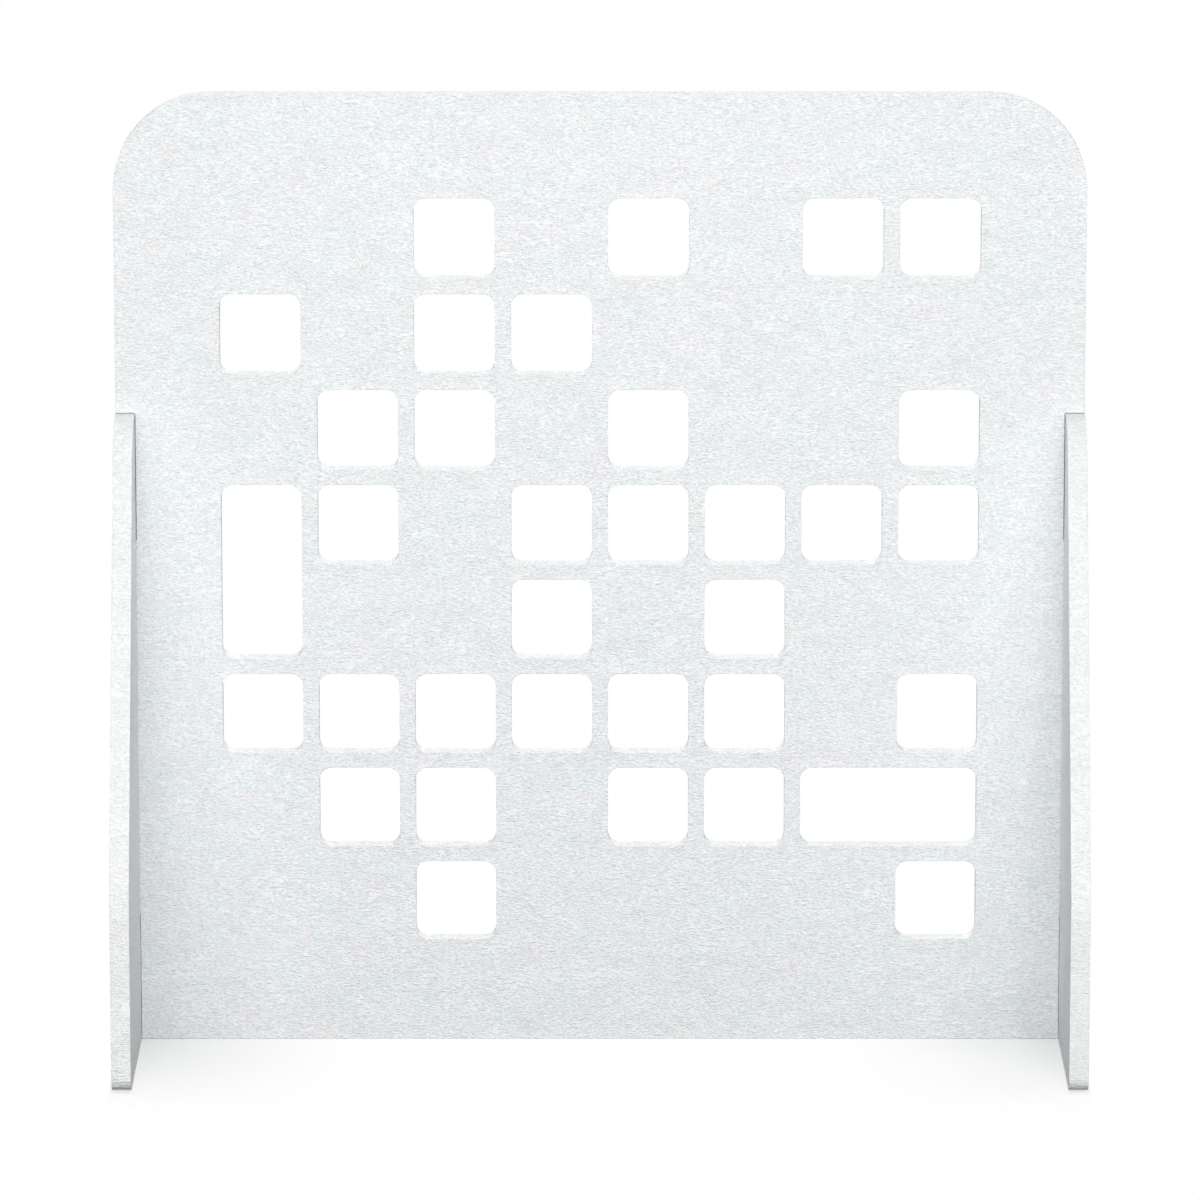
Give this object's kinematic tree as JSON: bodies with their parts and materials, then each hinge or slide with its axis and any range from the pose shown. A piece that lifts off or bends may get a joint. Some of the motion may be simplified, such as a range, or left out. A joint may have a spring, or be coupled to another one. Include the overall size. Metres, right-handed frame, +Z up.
{
  "type": "acoustic divider screen",
  "caption": "Free-standing felt divider screen: a flat panel pierced by a grid of rounded windows, with a slotted foot that slides onto a tab on each side.",
  "frame": {"origin": "on the floor, midway between the two feet and in the middle of the panel's thickness", "axes": "+Z up, -Y towards the side that the picture shows, +X to the right as seen from there, along the panel's width"},
  "size_m": [1.2, 0.54, 1.2],
  "materials": {
    "felt_panel": "matte",
    "felt_feet": "matte"
  },
  "bodies": {
    "screen": {"panel": "felt_panel"},
    "left_side": {"left_foot": "felt_feet"},
    "right_side": {"right_foot": "felt_feet"}
  },
  "joints": [
    {"name": "left_foot_slide", "type": "slide", "parent": "screen", "child": "left_side", "axis": [-1, 0, 0], "range_m": [0, 0.024]},
    {"name": "right_foot_slide", "type": "slide", "parent": "screen", "child": "right_side", "axis": [1, 0, 0], "range_m": [0, 0.024]}
  ]
}
